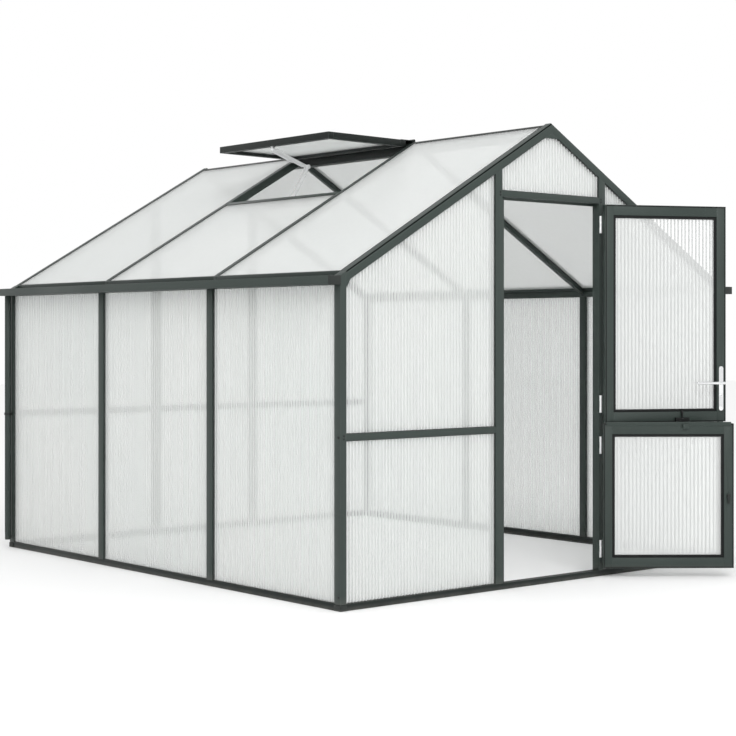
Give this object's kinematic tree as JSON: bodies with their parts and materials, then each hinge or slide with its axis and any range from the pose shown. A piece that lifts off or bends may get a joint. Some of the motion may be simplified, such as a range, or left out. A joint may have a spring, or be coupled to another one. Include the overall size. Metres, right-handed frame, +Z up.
{
  "type": "walk-in greenhouse",
  "caption": "Walk-in gabled greenhouse with dark aluminium profiles, twin-wall sheets, a two-part hinged door, a hinged roof vent with arm opener, gutters and downpipes.",
  "frame": {"origin": "middle of the underside of the front base rail, under the doorway", "axes": "+Z up, +Y from the door to the back wall, X across the gable; the underside of the base rests on the ground, facing -Z"},
  "size_m": [2.844, 3.4665, 2.2735],
  "materials": {
    "frame_paint": "dark powder-coated aluminium profile",
    "twin_wall": "twin-wall translucent sheet",
    "steel": "satin",
    "chrome": "polished",
    "bare_aluminium": "mill finish",
    "rubber": "matt",
    "black_plastic": "matt"
  },
  "bodies": {
    "frame": {"back_posts": "frame_paint", "base_rail_back": "frame_paint", "base_rail_front": "frame_paint", "base_rail_left": "frame_paint", "base_rail_right": "frame_paint", "closing_jamb": "frame_paint", "corner_feet": "black_plastic", "corner_post_back_left": "frame_paint", "corner_post_back_right": "frame_paint", "corner_post_front_left": "frame_paint", "corner_post_front_right": "frame_paint", "door_lintel": "frame_paint", "door_post_left": "frame_paint", "door_post_right": "frame_paint", "downpipes": "frame_paint", "glazing_back": "twin_wall", "glazing_front": "twin_wall", "glazing_left": "twin_wall", "glazing_right": "twin_wall", "glazing_roof_left": "twin_wall", "glazing_roof_right": "twin_wall", "gutter_end_caps": "black_plastic", "gutter_left": "frame_paint", "gutter_right": "frame_paint", "hinge_post_wings": "steel", "joint_plates": "frame_paint", "mid_rails_back": "frame_paint", "mid_rails_front": "frame_paint", "opener_frame_foot": "bare_aluminium", "pipe_clips": "black_plastic", "rafters_back": "frame_paint", "rafters_front": "frame_paint", "ridge_beam": "frame_paint", "roof_bars_left": "frame_paint", "roof_bars_right": "frame_paint", "side_posts_left": "frame_paint", "side_posts_right": "frame_paint", "vent_trimmer": "frame_paint"},
    "vent": {"vent_sash": "frame_paint", "vent_sheet": "twin_wall", "opener_sash_foot": "bare_aluminium"},
    "frame_arm": {"opener_frame_arm": "bare_aluminium"},
    "sash_arm": {"opener_sash_arm": "bare_aluminium"},
    "upper_leaf": {"upper_leaf_frame": "frame_paint", "upper_leaf_sheet": "twin_wall", "upper_leaf_hinges": "steel", "lock_case": "steel", "handle_plates": "chrome", "catch_housing": "black_plastic"},
    "lever": {"lever_handles": "chrome"},
    "latch": {"latch_bolt": "steel"},
    "deadbolt": {"deadbolt": "steel"},
    "key": {"key_barrel": "chrome"},
    "leaf_bolt": {"leaf_bolt": "steel"},
    "lower_leaf": {"lower_leaf_frame": "frame_paint", "lower_leaf_sheet": "twin_wall", "lower_leaf_hinges": "steel", "weather_strip": "rubber", "catch_keep": "black_plastic"},
    "turn_button": {"turn_button": "black_plastic"}
  },
  "joints": [
    {"name": "vent_hinge", "type": "hinge", "parent": "frame", "child": "vent", "pos_m": [0, 1.48, 2.26552], "axis": [0, 1, 0], "range_deg": [-30.6, 0]},
    {"name": "frame_arm_pivot", "type": "hinge", "parent": "frame", "child": "frame_arm", "pos_m": [-0.48369, 1.48, 1.91929], "axis": [0, 1, 0], "range_deg": [0, 25]},
    {"name": "sash_arm_pivot", "type": "hinge", "parent": "vent", "child": "sash_arm", "pos_m": [-0.57852, 1.48, 2.21858], "axis": [0, 1, 0], "range_deg": [-23, 0]},
    {"name": "upper_leaf_hinge", "type": "hinge", "parent": "frame", "child": "upper_leaf", "pos_m": [0.348, -0.026, 1.327], "axis": [0, 0, 1], "range_deg": [-153.5, 16.5]},
    {"name": "lower_leaf_hinge", "type": "hinge", "parent": "frame", "child": "lower_leaf", "pos_m": [0.348, -0.026, 0.41], "axis": [0, 0, 1], "range_deg": [-140.6, 29.4]},
    {"name": "lever_turn", "type": "hinge", "parent": "upper_leaf", "child": "lever", "pos_m": [0.90558, -0.33864, 0.975], "axis": [-0.4462, -0.8949, 0], "range_deg": [0, 40], "stiffness_Nm_per_rad": 1.2, "springref_deg": -28.65},
    {"name": "latch_slide", "type": "slide", "parent": "upper_leaf", "child": "latch", "axis": [-0.8949, 0.4462, 0], "range_m": [0, 0.009]},
    {"name": "key_turn", "type": "hinge", "parent": "upper_leaf", "child": "key", "pos_m": [0.90558, -0.33864, 0.911], "axis": [-0.4462, -0.8949, 0], "range_deg": [0, 90]},
    {"name": "deadbolt_slide", "type": "slide", "parent": "upper_leaf", "child": "deadbolt", "axis": [0.8949, -0.4462, 0], "range_m": [0, 0.015]},
    {"name": "leaf_bolt_slide", "type": "slide", "parent": "upper_leaf", "child": "leaf_bolt", "axis": [0, 0, -1], "range_m": [0, 0.02]},
    {"name": "turn_button_turn", "type": "hinge", "parent": "lower_leaf", "child": "turn_button", "pos_m": [0.81283, -0.46605, 0.41], "axis": [-0.6347, -0.7727, 0], "range_deg": [0, 90]}
  ],
  "couplings": [
    {"joint": "frame_arm_pivot", "follows": "vent_hinge", "ratio": -0.78692},
    {"joint": "sash_arm_pivot", "follows": "vent_hinge", "ratio": 0.71281},
    {"joint": "latch_slide", "follows": "lever_turn", "m_per_rad": 0.012892},
    {"joint": "key_turn", "follows": "deadbolt_slide", "rad_per_m": 104.71}
  ]
}
